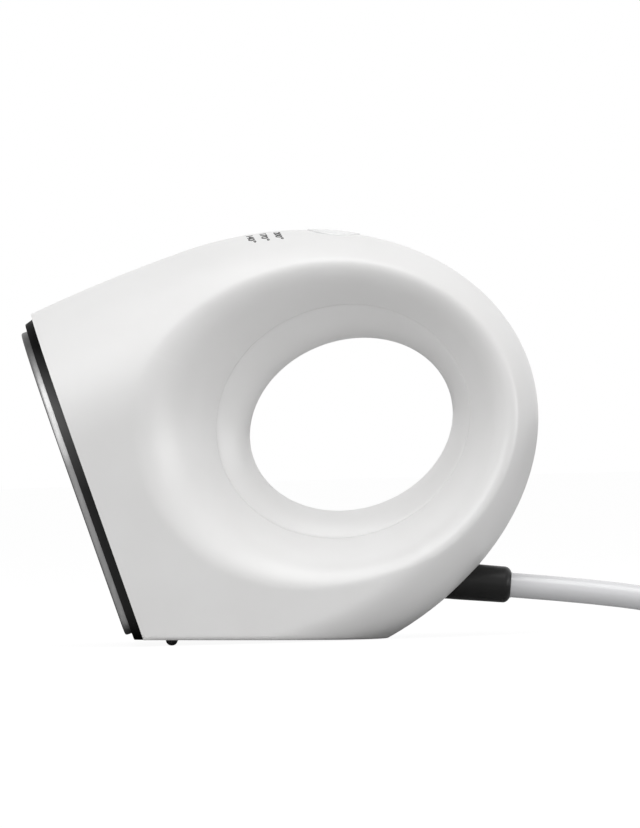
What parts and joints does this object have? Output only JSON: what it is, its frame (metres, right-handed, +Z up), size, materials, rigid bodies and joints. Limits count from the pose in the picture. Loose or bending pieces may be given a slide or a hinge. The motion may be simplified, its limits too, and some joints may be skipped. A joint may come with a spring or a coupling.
{
  "type": "mini handheld heat press",
  "caption": "Compact drop-shaped handheld heat press with a through ring grip, an arched heated sole behind a dark bezel, a top button, temperature marks and a mains lead.",
  "frame": {"origin": "bottom centre of the bounding box of the press without its free lead, coil and plug", "axes": "+Z up, +X from the heated sole to the ring grip and the lead, +Y to the press's side away from the view in the picture"},
  "size_m": [0.2669, 0.0997, 0.1112],
  "materials": {
    "housing_white": "satin",
    "button_white": "gloss",
    "bezel_black": "satin",
    "plate_metal": "brushed",
    "mica_brown": "matte",
    "sheet_metal": "satin",
    "fibre_mat": "matte",
    "sensor_glass": "gloss",
    "screw_steel": "satin",
    "board_green": "satin",
    "part_black": "satin",
    "part_blue": "gloss",
    "part_yellow": "gloss",
    "led_clear": "gloss",
    "lens_clear": "frosted",
    "boot_black": "matte",
    "cord_silver": "gloss",
    "tie_black": "matte",
    "plug_black": "satin",
    "pin_metal": "polished",
    "foot_rubber": "matte",
    "wire_brown": "satin",
    "wire_blue": "satin",
    "wire_green": "satin",
    "wire_white": "satin",
    "wire_grey": "satin"
  },
  "bodies": {
    "press": {"bezel": "bezel_black", "board_cable": "wire_grey", "board_screws": "screw_steel", "buzzer": "part_black", "case_screws": "screw_steel", "clamp_screws": "screw_steel", "control_board": "board_green", "control_chip": "part_black", "cord_clamp": "part_black", "cord_coil": "cord_silver", "cord_tie": "tie_black", "earth_wire": "wire_green", "film_capacitor": "part_yellow", "front_feet": "foot_rubber", "fuse_strap": "sheet_metal", "grip_ring": "housing_white", "heat_plate": "plate_metal", "heat_shield": "sheet_metal", "heater_leads": "wire_white", "heating_element": "mica_brown", "indicator_leds": "led_clear", "inner_cord": "cord_silver", "insulation_mat": "fibre_mat", "left_shell": "housing_white", "light_guide": "lens_clear", "live_wire": "wire_brown", "mica_sheet": "mica_brown", "neutral_wire": "wire_blue", "plate_screws": "screw_steel", "plug_body": "plug_black", "plug_lead": "cord_silver", "plug_pins": "pin_metal", "power_board": "board_green", "power_board_screws": "screw_steel", "power_cord": "cord_silver", "pressure_plate": "sheet_metal", "relay": "part_blue", "right_shell": "housing_white", "sensor_wires": "wire_white", "smoothing_capacitor": "part_black", "strain_relief": "boot_black", "switch_body": "part_black", "terminal_block": "part_blue", "thermal_fuse": "sheet_metal", "thermistor": "sensor_glass", "tilt_sensor": "sheet_metal", "triac": "part_black"},
    "button_cap": {"button": "button_white"},
    "switch_plunger": {"switch_stem": "part_black"}
  },
  "joints": [
    {"name": "button_press", "type": "slide", "parent": "press", "child": "button_cap", "axis": [-0.1117, 0, -0.9937], "range_m": [0, 0.0004], "stiffness_N_per_m": 3000},
    {"name": "plunger_press", "type": "slide", "parent": "press", "child": "switch_plunger", "axis": [-0.1117, 0, -0.9937], "range_m": [0, 0.0004]}
  ],
  "couplings": [
    {"joint": "plunger_press", "follows": "button_press", "ratio": 1}
  ]
}
